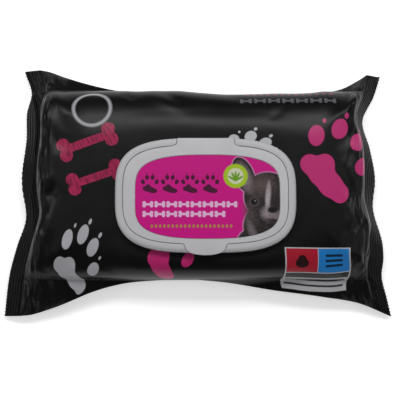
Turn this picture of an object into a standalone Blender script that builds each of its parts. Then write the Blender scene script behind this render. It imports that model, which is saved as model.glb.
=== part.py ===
# Wet wipes pack: a black film pouch with crimped end seals, its folded wipes,
# and a white flip-top closure with a label.
# Metres, +Z up. The pack lies on its back; X runs along it and the lid is hinged on its +Y side.
# The origin is the centre of the base.

import math

import bmesh
import bpy
import numpy as np
from mathutils import Matrix, Vector

# Wipes
WIPE_COUNT = 40
WIPE_LENGTH = 0.1856
WIPE_WIDTH = 0.0980
STACK_HEIGHT = 0.0325
EDGE_SAG = 0.0082            # how far the top and bottom wipes' edges are drawn in
SAG_POWER = 5.0              # how soon the edges between them come out to full width
EDGE_ROUND = 0.35            # depth of the valley between two folds, as a share of a wipe's height
FOLD_HEIGHT = 0.0012         # the top wipe's turned-up edge
FOLD_WIDTH = 0.0110
FOLD_Y = 0.0025              # its middle, back from the wipes' middle
FOLD_STEPS = 6

# Pouch
FILM = 0.0004
BASE_FILM = 0.0008           # film with the fin seal's two layers folded against it
END_SPACE = 0.0114           # from the wipes' ends to the seals' mean lines
SIDE_SPACE = 0.0127          # from the wipes' sides to the film
TOP_SPACE = 0.0020           # from the wipes to the top film
FILM_EASE = 0.0031           # slack of the flat tube over the full body's half girth
SEAL_THICKNESS = 0.0007
STRIP_DEPTH = 0.0120         # crimped strip of each end seal
STRIP_SKEW = 0.0042          # how far the right strip's front corner is pulled out
CRIMP_COUNT = 4
CRIMP_HEIGHT = 0.00022
TOOTH_PITCH = 0.0030
TOOTH_DEPTH = 0.0011
TOOTH_MARGIN = 0.0003        # least trim of the knife
KNIFE_MARGIN = 0.0300        # how far the waste runs past the film
SIDE_LEVEL = 0.0140          # height of the body's widest line
SEAL_LEVEL = 0.0150          # height of an end seal's middle
SEAL_DROOP = 0.0075          # how far its corners hang below that
DROOP_POWER = 2.2            # how much of the droop is near the corners
END_FACE = 0.0170            # length over which the film rises from a seal to the top
END_POWER = 4.0              # how square that rise is at the top, and how steep at the seal
END_SHOULDER = 3.0
BOX_TOP_POWER = 5.0          # how square the film lies over the wipes, and under them
BOX_BASE_POWER = 7.0
BOX_SHOULDER = 2.4           # how steeply it leaves the widest line
WING_SHARE = 0.55            # fullness of the film's wings beside the wipes
WING_POWER = 1.9
WING_SHOULDER = 1.25
BLEND_POWER = 4.0            # how sharply the film turns from the wipes' box to a wing
SECTION_POWER = 2.1          # spread of the film's points at a seal, and what the body adds to it
BODY_POWER = 1.2
SQUARE_LENGTH = 0.0450       # length over which the section takes the body's form
FADE_LENGTH = 0.0400         # length over which the seal's own shape fades into the body
BASE_SINK = 0.0010           # how firmly the base is pressed flat
STRIP_CLEARANCE = 0.0020     # least height of a strip's middle over the table
GATHER_WIDE = 0.16           # gathers of the end faces: share of their length, and waves across
GATHER_WIDE_WAVES = 9.0
GATHER_NARROW = 0.10
GATHER_NARROW_WAVES = 15.0
GATHER_PHASE = 0.7
CREASE_LEAD = 0.30           # a crease starts this share of its length early, and is full at the second
CREASE_FULL = 0.25
CREASE_TAIL = 0.20           # and fades out over this share before and after its end
CREASE_RISE = 0.30           # depth of the creases where the film leaves a seal
FLAT_FROM = 1.10             # the film is drawn flat round the closure, and free past the second value
FLAT_TO = 1.55
BODY_OFFSET = 0.0032         # the body lies this far behind the seals' middle
FIN_WIDTH = 0.0120
FIN_GROOVE = 0.0010
FIN_GROOVE_DEPTH = 0.00035
CUT_MARGIN = 0.0020          # how far a cut starts outside the solid
DIE_CUT_STEPS = 48
HALF_COLUMNS = 28            # film columns over the top, and as many under it
END_STATIONS = 6             # stations of an end face, and how they crowd towards the seal
END_SPREAD = 1.4
BODY_STATIONS = 7            # stations from there to the middle

# Closure
CLOSURE_LENGTH = 0.1136
CLOSURE_WIDTH = 0.0722
CLOSURE_HEIGHT = 0.0070
CLOSURE_X = 0.0049
CLOSURE_Y = -0.0071
CLOSURE_POWER = 3.27         # how square the outline is
RIM_WIDTH = 0.0048
RIM_ROUND = 0.0024           # rounding of the rim's outer edge, and of its inner edge
RIM_EDGE = 0.0014
LEDGE = 0.0009               # inside the rim, where the lid's edge comes to rest
FRAME_WALL = 0.0012
FLOOR_THICKNESS = 0.0012
LID_THICKNESS = 0.0013
LID_ROUND = 0.0010           # rounding of the lid's edge
LID_ROUND_DEPTH = 0.0008
GROOVE = 0.0005
WINDOW_LENGTH = 0.0640
WINDOW_WIDTH = 0.0320
COLLAR_WALL = 0.0011
COLLAR_HEIGHT = 0.0032
COLLAR_ROUND = 0.0004
COLLAR_CLEARANCE = 0.00045
SEAL_RING_WALL = 0.0010
SEAL_RING_DEPTH = 0.0034
SEAL_RING_DRAFT = 0.0001
DIE_CUT_INSET = 0.0025       # the film's lip that shows inside the window
HINGE_WIDTH = 0.0362
HINGE_FILLET = 0.0022
HINGE_CORNER = 0.0012
TAB_WIDTH = 0.0260
TAB_FILLET = 0.0016
TAB_REACH = 0.0020           # past the rim's front edge
TAB_POWER = 0.8              # how full the tab's half-moon is
TAB_STEPS = 8
FRAME_STEPS = 72

# Label
LABEL_END_MARGIN = 0.0063    # from the lid's ends, and from its sides, to the label
LABEL_SIDE_MARGIN = 0.0045
LABEL_THICKNESS = 0.00025
LABEL_X = 0.0012             # the label's middle from the closure's
LABEL_Y = -0.0014
LABEL_POWER_X = 2.65
LABEL_POWER_Y = 4.2

# Fits
SEAT_GAP = 0.0003

TAU = 2 * math.pi

stack_base = BASE_FILM + SEAT_GAP
body_width = WIPE_WIDTH + 2 * SIDE_SPACE
body_height = stack_base + STACK_HEIGHT + TOP_SPACE + FILM
seal_width = body_width + body_height + FILM_EASE
frame_base = body_height + SEAT_GAP
closure_top = frame_base + CLOSURE_HEIGHT
lid_base = closure_top - LID_THICKNESS
frame_floor = frame_base + FLOOR_THICKNESS
label_recess = closure_top - LABEL_THICKNESS - SEAT_GAP
lid_inset = RIM_WIDTH + GROOVE
label_length = CLOSURE_LENGTH - 2 * (lid_inset + LABEL_END_MARGIN)
label_width = CLOSURE_WIDTH - 2 * (lid_inset + LABEL_SIDE_MARGIN)
hinge_axis = (CLOSURE_X, CLOSURE_Y + 0.5 * CLOSURE_WIDTH + SEAT_GAP, lid_base - 0.5 * SEAT_GAP)

# Seal lines, from the front corner (-1) to the back corner (+1): the place across the pack,
# how far the strip's inner edge lies past the mean line, and how steeply the strip droops.
LEFT_SEAL = [(-1.0, 0.0131, 20), (-0.62, 0.0091, 20), (-0.42, 0.0050, 22), (-0.22, 0.0005, 28),
             (0.06, 0.0028, 22), (0.42, 0.0006, 24), (0.64, 0.0010, 26), (0.80, -0.0010, 30),
             (1.0, 0.0034, 22)]
RIGHT_SEAL = [(-1.0, 0.0076, 20), (-0.84, 0.0046, 20), (-0.66, 0.0016, 22), (-0.52, 0.0030, 24),
              (-0.40, 0.0030, 28), (-0.31, 0.0039, 45), (-0.10, 0.0006, 52), (0.10, 0.0007, 42),
              (0.36, -0.0005, 52), (0.62, -0.0032, 60), (0.82, 0.0020, 46), (1.0, 0.0050, 34)]

# Side outlines: share of the way from the middle to the seal, and share of the flare
# from the body's width to the seal's width.
BACK_LEFT = [(0.0, -0.07), (0.12, 0.0), (0.50, 0.03), (0.66, 0.24), (0.84, 0.65), (0.95, 0.94),
             (1.0, 1.0)]
BACK_RIGHT = [(0.0, -0.07), (0.12, -0.13), (0.45, -0.11), (0.72, -0.04), (0.86, 0.20), (0.95, 0.57),
              (1.0, 0.80)]
FRONT_LEFT = [(0.0, 0.0), (0.28, 0.02), (0.50, 0.13), (0.66, 0.34), (0.84, 0.79), (0.94, 0.97),
              (1.0, 1.0)]
FRONT_RIGHT = [(0.0, 0.0), (0.16, 0.07), (0.45, 0.29), (0.74, 0.48), (0.92, 0.66), (1.0, 0.82)]

# Creases of the top film: from, to, height and half-width.
# The places are shares of the way from the middle to the seal and of the body's half-width.
CREASES = [
    ((-0.78, 0.62), (-0.99, 1.12), 0.0016, 0.0050),
    ((-0.80, -0.60), (-1.04, -1.16), 0.0018, 0.0055),
    ((-0.70, -0.78), (-0.96, -0.98), -0.0012, 0.0045),
    ((-0.90, -0.10), (-0.99, -0.34), -0.0012, 0.0040),
    ((-0.86, 0.34), (-0.97, 0.62), -0.0010, 0.0045),
    ((0.82, 0.60), (1.06, 1.12), 0.0018, 0.0050),
    ((0.88, 0.40), (1.03, 0.78), -0.0013, 0.0042),
    ((0.84, -0.62), (1.12, -1.18), 0.0020, 0.0050),
    ((0.76, -0.80), (1.02, -1.00), -0.0012, 0.0050),
    ((0.93, -0.12), (1.03, -0.42), -0.0014, 0.0042),
    ((-0.12, 0.74), (-0.34, 0.98), 0.0005, 0.0040),
]


def smooth(x, low, high):
    """0 below low, 1 above high, and an even rise between them."""
    t = np.clip((x - low) / (high - low), 0.0, 1.0)
    return t * t * (3.0 - 2.0 * t)


def through(points, x):
    """Smooth curve through a few (x, value) points."""
    xs = np.array([p[0] for p in points])
    ys = np.array([p[1] for p in points])
    slopes = np.gradient(ys, xs)
    k = int(np.clip(np.searchsorted(xs, x) - 1, 0, len(xs) - 2))
    span = xs[k + 1] - xs[k]
    t = (x - xs[k]) / span
    return ((1 + 2 * t) * (1 - t) ** 2 * ys[k] + t * (1 - t) ** 2 * span * slopes[k]
            + t * t * (3 - 2 * t) * ys[k + 1] + t * t * (t - 1) * span * slopes[k + 1])


def oval(t, length, width, power_x, power_y):
    """Point of a squared oval for the angle-like value t."""
    c, s = math.cos(t), math.sin(t)
    x = 0.5 * length * math.copysign(abs(c) ** (2 / power_x), c)
    y = 0.5 * width * math.copysign(abs(s) ** (2 / power_y), s)
    return x, y


def inset(points, distance):
    """Closed anticlockwise outline moved inwards by a distance."""
    p = np.array(points)
    along = np.roll(p, -1, axis=0) - np.roll(p, 1, axis=0)
    along /= np.linalg.norm(along, axis=1)[:, None]
    inward = np.stack([-along[:, 1], along[:, 0]], axis=1)
    return p + inward * distance


def at_height(points, z):
    """Outline about the closure's middle, placed at a height."""
    return [(CLOSURE_X + x, CLOSURE_Y + y, z) for x, y in points]


def mesh_object(name, verts, faces, collection):
    """Object from points and faces, with its normals outward."""
    mesh = bpy.data.meshes.new(name)
    mesh.from_pydata([tuple(v) for v in verts], [], faces)
    bm = bmesh.new()
    bm.from_mesh(mesh)
    bmesh.ops.recalc_face_normals(bm, faces=bm.faces)
    bm.to_mesh(mesh)
    bm.free()
    obj = bpy.data.objects.new(name, mesh)
    collection.objects.link(obj)
    return obj


def ring_solid(name, rings, collection, closed):
    """Skins a list of equal rings: joined end to end if closed, or capped at both ends."""
    count = len(rings[0])
    verts = [v for ring in rings for v in ring]
    faces = []
    pairs = len(rings) if closed else len(rings) - 1
    for r in range(pairs):
        a = r * count
        b = ((r + 1) % len(rings)) * count
        for k in range(count):
            n = (k + 1) % count
            faces.append((a + k, a + n, b + n, b + k))
    if not closed:
        faces.append(tuple(range(count)))
        faces.append(tuple(range((len(rings) - 1) * count, len(rings) * count)))
    return mesh_object(name, verts, faces, collection)


def prism(name, outline, low, high, collection):
    """Upright solid of a closed outline."""
    rings = [[(x, y, low) for x, y in outline], [(x, y, high) for x, y in outline]]
    return ring_solid(name, rings, collection, closed=False)


def cut(obj, cutter):
    """Cuts a hidden cutter out of an object."""
    cutter.hide_render = True
    cutter.display_type = 'WIRE'
    modifier = obj.modifiers.new(cutter.name, 'BOOLEAN')
    modifier.operation = 'DIFFERENCE'
    modifier.solver = 'EXACT'
    modifier.object = cutter


def material(obj, name, colour, roughness, metallic=0.0):
    """Gives an object its Principled material."""
    made = bpy.data.materials.new(name)
    made.use_nodes = True
    shader = made.node_tree.nodes["Principled BSDF"]
    shader.inputs["Base Color"].default_value = (*colour, 1.0)
    shader.inputs["Roughness"].default_value = roughness
    shader.inputs["Metallic"].default_value = metallic
    obj.data.materials.append(made)


def shade(obj, degrees):
    """Smooth shading with sharp edges kept."""
    obj.data.shade_smooth()
    obj.data.set_sharp_from_angle(angle=math.radians(degrees))


def corner_reach(side):
    """How far a seal's front corner, the pack's farthest point, lies past the strip's mean line."""
    _, out, droop = (LEFT_SEAL if side < 0 else RIGHT_SEAL)[0]
    return out + STRIP_DEPTH * math.cos(math.radians(droop))


def mean_seal(side):
    """X of a strip's mean inner line: side is -1 at the left and +1 at the right."""
    return stack_middle() + side * (0.5 * WIPE_LENGTH + END_SPACE)


def stack_middle():
    """X of the wipes' middle, for an origin midway between the farthest corners."""
    return 0.5 * (corner_reach(-1) - corner_reach(1))


def seal_line(side, v):
    """A strip's inner edge, outer edge, inner height and droop angle at the place v across."""
    table = LEFT_SEAL if side < 0 else RIGHT_SEAL
    out = through([(p[0], p[1]) for p in table], v)
    droop = math.radians(through([(p[0], p[2]) for p in table], v))
    inner = mean_seal(side) + side * out
    outer = inner + side * STRIP_DEPTH * math.cos(droop)
    level = SEAL_LEVEL - SEAL_DROOP * abs(v) ** DROOP_POWER
    return inner, outer, level, droop


def side_edges(x):
    """The pouch's front and back edges at x."""
    side = -1 if x < 0 else 1
    share = min(1.0, abs(x / mean_seal(side)))
    back = through(BACK_LEFT if side < 0 else BACK_RIGHT, share)
    front = through(FRONT_LEFT if side < 0 else FRONT_RIGHT, share)
    body = 0.5 * body_width
    seal = 0.5 * seal_width
    back_y = BODY_OFFSET + body + back * (seal - body - BODY_OFFSET)
    front_y = BODY_OFFSET - body - front * (seal - body + BODY_OFFSET)
    return front_y, back_y


def strip_edges(side, share):
    """Front and back ends of a strip, share of the way from its inner to its outer edge."""
    front_y, back_y = side_edges(mean_seal(side))
    skew = share * STRIP_SKEW if side > 0 else 0.0
    return front_y - skew, back_y


def near_end(x):
    """Distance inward from the nearer strip's mean inner line."""
    return min(x - mean_seal(-1), mean_seal(1) - x)


def crease_lift(x, y):
    """Height that the creases add to the top film."""
    lift = 0.0
    for start, end, height, half_width in CREASES:
        reach = abs(mean_seal(-1 if start[0] < 0 else 1))
        a = np.array([start[0] * reach, BODY_OFFSET + 0.5 * start[1] * body_width])
        b = np.array([end[0] * reach, BODY_OFFSET + 0.5 * end[1] * body_width])
        run = b - a
        along = float(np.clip(np.dot((x, y) - a, run) / np.dot(run, run), -CREASE_LEAD, 1 + CREASE_TAIL))
        away = np.linalg.norm(np.array((x, y)) - a - along * run)
        fade = float(smooth(along, -CREASE_LEAD, CREASE_FULL))
        fade *= float(1.0 - smooth(along, 1 - CREASE_TAIL, 1 + CREASE_TAIL))
        lift += height * fade * math.exp(-(away / half_width) ** 2)
    return lift


def closure_distance(x, y):
    """1 on the closure's outline, more outside it."""
    u = abs(x - CLOSURE_X) / (0.5 * CLOSURE_LENGTH)
    w = abs(y - CLOSURE_Y) / (0.5 * CLOSURE_WIDTH)
    return (u ** CLOSURE_POWER + w ** CLOSURE_POWER) ** (1 / CLOSURE_POWER)


def end_rise(x, v, shrink):
    """Share of the body's height reached at x: steep end faces, gathered across the pack."""
    side = -1 if x < 0 else 1
    gather = (1.0 + GATHER_WIDE * math.cos(GATHER_WIDE_WAVES * v + GATHER_PHASE * side)
              + GATHER_NARROW * math.cos(GATHER_NARROW_WAVES * v - side))
    away = np.clip((near_end(x) - shrink * 3 * FILM) / (END_FACE * gather), 0.0, 1.0)
    return float(1.0 - (1.0 - away) ** END_POWER) ** (1 / END_SHOULDER)


def fullness(y, edges, box_edges, power):
    """Share of the film's height at y: the wipes fill a box and the film tapers to a wing beside it."""
    middle, half = 0.5 * (edges[0] + edges[1]), 0.5 * (edges[1] - edges[0])
    box_middle, box_half = 0.5 * (box_edges[0] + box_edges[1]), 0.5 * (box_edges[1] - box_edges[0])
    box = max(0.0, 1.0 - abs((y - box_middle) / box_half) ** power) ** (1 / BOX_SHOULDER)
    wing = WING_SHARE * max(0.0, 1.0 - abs((y - middle) / half) ** WING_POWER) ** (1 / WING_SHOULDER)
    return min(1.0, (box ** BLEND_POWER + wing ** BLEND_POWER) ** (1 / BLEND_POWER))


def section(x, shrink):
    """Closed ring of film points round the station x.
    shrink 0 is the film's outside and 1 its inside."""
    front_y, back_y = side_edges(x)
    thin = shrink * 2 * FILM
    edges = (front_y + thin, back_y - thin)
    box_edges = (max(edges[0], BODY_OFFSET - 0.5 * body_width + thin),
                 min(edges[1], BODY_OFFSET + 0.5 * body_width - thin))
    middle, half = 0.5 * (edges[0] + edges[1]), 0.5 * (edges[1] - edges[0])
    power = SECTION_POWER + BODY_POWER * float(smooth(near_end(x), 0.0, SQUARE_LENGTH))
    ends = 1.0 - float(smooth(near_end(x), 0.0, FADE_LENGTH))
    side = -1 if x < 0 else 1
    skin = 0.5 * SEAL_THICKNESS - shrink * FILM
    top = body_height - shrink * FILM
    ring = []
    for j in range(2 * HALF_COLUMNS):
        angle = math.pi * j / HALF_COLUMNS
        c, s = math.cos(angle), math.sin(angle)
        inner, _, level, _ = seal_line(side, c)
        px = x + ends * (inner - mean_seal(side))
        py = middle + half * math.copysign(abs(c) ** (2 / power), c)
        line = SIDE_LEVEL + (level - SIDE_LEVEL) * ends
        rise = end_rise(x, c, shrink)
        if j in (0, HALF_COLUMNS):
            ring.append((px, py, line))
            continue
        if s > 0:
            height = (top - line - skin) * rise
            z = line + skin + height * fullness(py, edges, box_edges, BOX_TOP_POWER)
            flat = 1.0 - float(smooth(closure_distance(px, py), FLAT_FROM, FLAT_TO))
            z = min(z + crease_lift(px, py) * (1.0 - flat) * min(1.0, rise + CREASE_RISE), top)
            z += (top - z) * flat
        else:
            depth = (line + BASE_SINK - shrink * FILM - skin) * rise
            z = line - skin - depth * fullness(py, edges, box_edges, BOX_BASE_POWER)
            z = max(z, shrink * BASE_FILM)
        ring.append((px, py, z))
    return ring


def strip_ring(side, share, wave):
    """Ring of points round a crimped strip, share of the way from its inner to its outer edge."""
    front_y, back_y = strip_edges(side, share)
    middle = 0.5 * (front_y + back_y)
    half = 0.5 * (back_y - front_y)
    ring = []
    for j in range(2 * HALF_COLUMNS):
        angle = math.pi * j / HALF_COLUMNS
        c, s = math.cos(angle), math.sin(angle)
        inner, outer, level, droop = seal_line(side, c)
        px = inner + share * (outer - inner)
        py = middle + half * math.copysign(abs(c) ** (2 / SECTION_POWER), c)
        line = level - share * STRIP_DEPTH * math.sin(droop)
        skin = 0.0 if j in (0, HALF_COLUMNS) else math.copysign(0.5 * SEAL_THICKNESS, s)
        ring.append((px, py, max(line, STRIP_CLEARANCE) + skin + wave))
    return ring


def body_stations():
    """X of the film's stations, close together over the end faces."""
    rest = 0.5 * (mean_seal(1) - mean_seal(-1)) - END_FACE
    steps = [END_FACE * (k / END_STATIONS) ** END_SPREAD for k in range(1, END_STATIONS + 1)]
    steps += [END_FACE + rest * k / (BODY_STATIONS + 1) for k in range(1, BODY_STATIONS + 1)]
    left = [mean_seal(-1) + d for d in steps]
    right = [mean_seal(1) - d for d in reversed(steps)]
    return left + [0.5 * (left[-1] + right[0])] + right


def ladder_solid(name, rings, collection):
    """Skins film rings and closes both ends between their upper and lower edges."""
    count = len(rings[0])
    half = count // 2
    verts = [v for ring in rings for v in ring]
    faces = []
    for r in range(len(rings) - 1):
        a = r * count
        for k in range(count):
            n = (k + 1) % count
            faces.append((a + k, a + n, a + count + n, a + count + k))
    for a in (0, (len(rings) - 1) * count):
        faces.append((a, a + 1, a + count - 1))
        for k in range(1, half - 1):
            faces.append((a + k, a + k + 1, a + count - k - 1, a + count - k))
        faces.append((a + half - 1, a + half, a + half + 1))
    return mesh_object(name, verts, faces, collection)


def tooth_cutter(side, collection):
    """Waste that the zigzag knife takes off a seal's outer edge."""
    front_y, back_y = strip_edges(side, 1.0)
    middle = 0.5 * (front_y + back_y)
    half = 0.5 * (back_y - front_y)
    count = int(2 * half / TOOTH_PITCH)
    outline = []
    for k in range(-1, 2 * count + 2):
        y = front_y + k * half / count
        v = float(np.clip((y - middle) / half, -1, 1))
        c = math.copysign(abs(v) ** (SECTION_POWER / 2), v)
        _, outer, _, droop = seal_line(side, c)
        depth = (TOOTH_MARGIN + (k % 2) * TOOTH_DEPTH) * math.cos(droop)
        outline.append((outer - side * depth, y))
    far = mean_seal(side) + side * (corner_reach(side) + KNIFE_MARGIN)
    outline += [(far, back_y + CUT_MARGIN), (far, front_y - CUT_MARGIN)]
    if side > 0:
        outline.reverse()
    name = "seal_knife_left" if side < 0 else "seal_knife_right"
    return prism(name, outline, -CUT_MARGIN, body_height, collection)


def film_pouch(collection, cutters):
    """Pouch with crimped seals, cavity, die-cut and fin seal."""
    crimps = 2 * CRIMP_COUNT
    left = []
    right = []
    for k in range(crimps, -1, -1):
        wave = CRIMP_HEIGHT * (-1) ** k if k else 0.0
        left.append(strip_ring(-1, k / crimps, wave))
        right.insert(0, strip_ring(1, k / crimps, wave))
    stations = body_stations()
    outside = left + [section(x, 0) for x in stations] + right
    pouch = ladder_solid("film_pouch", outside, collection)
    inside = [section(x, 1) for x in stations[1:-1]]
    cavity = ladder_solid("cavity", inside, cutters)
    cut(pouch, cavity)
    die = [oval(TAU * k / DIE_CUT_STEPS, WINDOW_LENGTH - 2 * DIE_CUT_INSET, WINDOW_WIDTH - 2 * DIE_CUT_INSET,
                CLOSURE_POWER, CLOSURE_POWER) for k in range(DIE_CUT_STEPS)]
    die = [(CLOSURE_X + x, CLOSURE_Y + y) for x, y in die]
    cut(pouch, prism("die_cut", die, body_height - TOP_SPACE, body_height + CUT_MARGIN, cutters))
    for side in (-1, 1):
        cut(pouch, tooth_cutter(side, cutters))
    for side in (-1, 1):
        y = BODY_OFFSET + side * 0.5 * FIN_WIDTH
        left_x, right_x = mean_seal(-1) + END_FACE, mean_seal(1) - END_FACE
        groove = [(left_x, y - 0.5 * FIN_GROOVE), (right_x, y - 0.5 * FIN_GROOVE),
                  (right_x, y + 0.5 * FIN_GROOVE), (left_x, y + 0.5 * FIN_GROOVE)]
        name = "fin_groove_front" if side < 0 else "fin_groove_back"
        cut(pouch, prism(name, groove, -CUT_MARGIN, FIN_GROOVE_DEPTH, cutters))
    material(pouch, "black_film", (0.012, 0.012, 0.014), 0.3)
    shade(pouch, 60)
    return pouch


def wipes_stack(collection):
    """Folded wipes: one rounded fold edge for each, and the top one's edge turned up."""
    pitch = STACK_HEIGHT / WIPE_COUNT
    valley = EDGE_ROUND * pitch
    side = []
    for k in range(2 * WIPE_COUNT + 1):
        share = k / (2 * WIPE_COUNT)
        half = 0.5 * WIPE_WIDTH - EDGE_SAG * abs(2 * share - 1) ** SAG_POWER
        side.append((half - valley * (1 - k % 2), stack_base + share * STACK_HEIGHT))
    top = []
    for k in range(FOLD_STEPS + 1):
        angle = math.pi * k / FOLD_STEPS
        top.append((FOLD_Y + 0.5 * FOLD_WIDTH * math.cos(angle),
                    stack_base + STACK_HEIGHT + FOLD_HEIGHT * math.sin(angle)))
    profile = side + top + [(-y, z) for y, z in reversed(side)]
    middle = stack_middle()
    ends = []
    for x in (middle - 0.5 * WIPE_LENGTH, middle + 0.5 * WIPE_LENGTH):
        ends.append([(x, BODY_OFFSET + y, z) for y, z in profile])
    stack = ring_solid("wipes_stack", ends, collection, closed=False)
    material(stack, "moist_nonwoven", (0.82, 0.83, 0.82), 0.75)
    return stack


def closure_outline(steps):
    """Outer outline of the closure about its own middle, with its angle-like values."""
    values = [TAU * k / steps for k in range(steps)]
    return values, [oval(t, CLOSURE_LENGTH, CLOSURE_WIDTH, CLOSURE_POWER, CLOSURE_POWER) for t in values]


def arc(cx, cy, radius, start, end, steps):
    """Points of an arc, in degrees, both ends included."""
    made = []
    for k in range(steps + 1):
        a = math.radians(start + (end - start) * k / steps)
        made.append((cx + radius * math.cos(a), cy + radius * math.sin(a)))
    return made


def rounding(across, down, steps):
    """Quarter round from a side to a top: how far in from the side and how far below the top."""
    made = []
    for k in range(steps + 1):
        a = 0.5 * math.pi * k / steps
        made.append((across * (1 - math.cos(a)), down * (1 - math.sin(a))))
    return made


def lid_outline():
    """Lid's outline: the rim's inner line, the hinge strip at the back and the tab at the front."""
    _, outer = closure_outline(120)
    plate = [tuple(p) for p in inset(outer, lid_inset)]
    back = 0.5 * CLOSURE_WIDTH - SEAT_GAP
    seat = max(p[1] for p in plate)
    hinge = 0.5 * HINGE_WIDTH
    tab = 0.5 * TAB_WIDTH
    front = 0.5 * CLOSURE_WIDTH + TAB_REACH
    right_corner = arc(hinge + HINGE_FILLET, seat + HINGE_FILLET, HINGE_FILLET, -90, -180, 3)
    right_corner += arc(hinge - HINGE_CORNER, back - HINGE_CORNER, HINGE_CORNER, 0, 90, 2)
    across = [((hinge - HINGE_CORNER) * share, back) for share in (0.5, 0, -0.5)]
    left_corner = [(-x, y) for x, y in reversed(right_corner)]
    tab_edge = min(p[1] for p in plate)
    start = tab_edge - TAB_FILLET
    side = arc(-tab - TAB_FILLET, start, TAB_FILLET, 90, 15, 3)
    moon = []
    for k in range(1, TAB_STEPS):
        a = math.pi * k / TAB_STEPS
        moon.append((-tab * math.cos(a), start - (front + start) * math.sin(a) ** TAB_POWER))
    other = [(-x, y) for x, y in reversed(side)]
    reach = tab + TAB_FILLET + GROOVE
    notch = hinge + HINGE_FILLET + GROOVE
    right_back = [p for p in plate if p[0] > notch and p[1] >= 0]
    left = [p for p in plate if p[0] < 0 and (p[0] < -notch if p[1] > 0 else p[0] < -reach)]
    right_front = [p for p in plate if p[0] > reach and p[1] < 0]
    return (right_back[::2] + right_corner + across + left_corner + left[::2]
            + side + moon + other + right_front[::2])


def hang(obj):
    """Moves an object's origin onto the hinge's axis, its shape staying where it is."""
    obj.data.transform(Matrix.Translation(-Vector(hinge_axis)))
    obj.location = hinge_axis


def matching(points, length, width, power_x, power_y):
    """Squared oval with one point for each of these outline points, in about the same direction."""
    made = []
    for x, y in points:
        u = abs(x) / (0.5 * CLOSURE_LENGTH)
        w = abs(y) / (0.5 * CLOSURE_WIDTH)
        t = math.atan2(w ** (CLOSURE_POWER / 2), u ** (CLOSURE_POWER / 2))
        px, py = oval(t, length, width, power_x, power_y)
        made.append((math.copysign(px, x), math.copysign(py, y)))
    return made


def closure_frame(collection, cutters):
    """Frame: hollow rounded rim with a ledge, floor, window with its collar, hinge seat and tab notch."""
    values, outer = closure_outline(FRAME_STEPS)

    def window(grow):
        return [oval(t, WINDOW_LENGTH + 2 * grow, WINDOW_WIDTH + 2 * grow, CLOSURE_POWER, CLOSURE_POWER)
                for t in values]

    collar_top = frame_floor + COLLAR_HEIGHT
    ledge_top = lid_base - 2 * SEAT_GAP
    channel = closure_top - FRAME_WALL
    channel_round = RIM_ROUND - FRAME_WALL
    rim_profile = [(0.0, frame_base)]
    rim_profile += [(d, closure_top - drop) for d, drop in rounding(RIM_ROUND, RIM_ROUND, 3)]
    rim_profile += [(RIM_WIDTH - d, closure_top - drop)
                    for d, drop in reversed(rounding(RIM_EDGE, RIM_EDGE, 2))]
    rim_profile += [(RIM_WIDTH, ledge_top), (RIM_WIDTH + LEDGE, ledge_top), (RIM_WIDTH + LEDGE, frame_floor)]
    rings = [at_height(inset(outer, d), z) for d, z in rim_profile]
    rings += [at_height(window(COLLAR_WALL), frame_floor),
              at_height(window(COLLAR_WALL), collar_top - COLLAR_ROUND),
              at_height(window(COLLAR_WALL - COLLAR_ROUND), collar_top),
              at_height(window(COLLAR_ROUND), collar_top),
              at_height(window(0.0), collar_top - COLLAR_ROUND),
              at_height(window(0.0), frame_base)]
    under_profile = [(RIM_WIDTH - FRAME_WALL, frame_base), (RIM_WIDTH - FRAME_WALL, channel - channel_round)]
    under_profile += [(FRAME_WALL + d, channel - drop)
                      for d, drop in reversed(rounding(channel_round, channel_round, 2))]
    under_profile.append((FRAME_WALL, frame_base))
    rings += [at_height(inset(outer, d), z) for d, z in under_profile]
    frame = ring_solid("closure_frame", rings, collection, closed=True)
    clearing = inset(lid_outline(), -GROOVE)
    clearing = [(CLOSURE_X + x, CLOSURE_Y + y) for x, y in clearing]
    cut(frame, prism("lid_clearing", clearing, lid_base - SEAT_GAP, closure_top + CUT_MARGIN, cutters))
    material(frame, "white_polypropylene", (0.72, 0.72, 0.73), 0.35)
    shade(frame, 35)
    return frame


def flip_lid(collection):
    """Lid: flush plate with a label recess, rounded edge, hinge strip, tab and sealing ring."""
    outline = lid_outline()
    ring_inner = 2 * (COLLAR_WALL + COLLAR_CLEARANCE)
    ring_outer = ring_inner + 2 * SEAL_RING_WALL

    def label(grow):
        length = label_length + 2 * grow
        width = label_width + 2 * grow
        found = matching(outline, length, width, LABEL_POWER_X, LABEL_POWER_Y)
        return [(x + LABEL_X, y + LABEL_Y) for x, y in found]

    def sealing(grow):
        return matching(outline, WINDOW_LENGTH + grow, WINDOW_WIDTH + grow, CLOSURE_POWER, CLOSURE_POWER)

    ring_low = lid_base - SEAL_RING_DEPTH
    rings = [
        at_height(label(SEAT_GAP), label_recess),
        at_height(label(SEAT_GAP), closure_top),
    ]
    edge = rounding(LID_ROUND, LID_ROUND_DEPTH, 2)
    rings += [at_height(inset(outline, d), closure_top - drop) for d, drop in reversed(edge)]
    rings += [
        at_height(outline, lid_base),
        at_height(sealing(ring_outer), lid_base),
        at_height(sealing(ring_outer - 2 * SEAL_RING_DRAFT), ring_low),
        at_height(sealing(ring_inner), ring_low),
        at_height(sealing(ring_inner), lid_base),
    ]
    lid = ring_solid("flip_lid", rings, collection, closed=False)
    material(lid, "white_lid_polypropylene", (0.74, 0.74, 0.75), 0.32)
    shade(lid, 35)
    hang(lid)
    return lid


def lid_label(collection):
    """Printed label that lies in the lid's recess."""
    steps = 56
    points = [oval(TAU * k / steps, label_length, label_width, LABEL_POWER_X, LABEL_POWER_Y)
              for k in range(steps)]
    low = label_recess + SEAT_GAP
    placed = [(CLOSURE_X + LABEL_X + x, CLOSURE_Y + LABEL_Y + y) for x, y in points]
    label = prism("lid_label", placed, low, low + LABEL_THICKNESS, collection)
    material(label, "magenta_label", (0.42, 0.012, 0.19), 0.4)
    hang(label)
    return label


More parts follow.
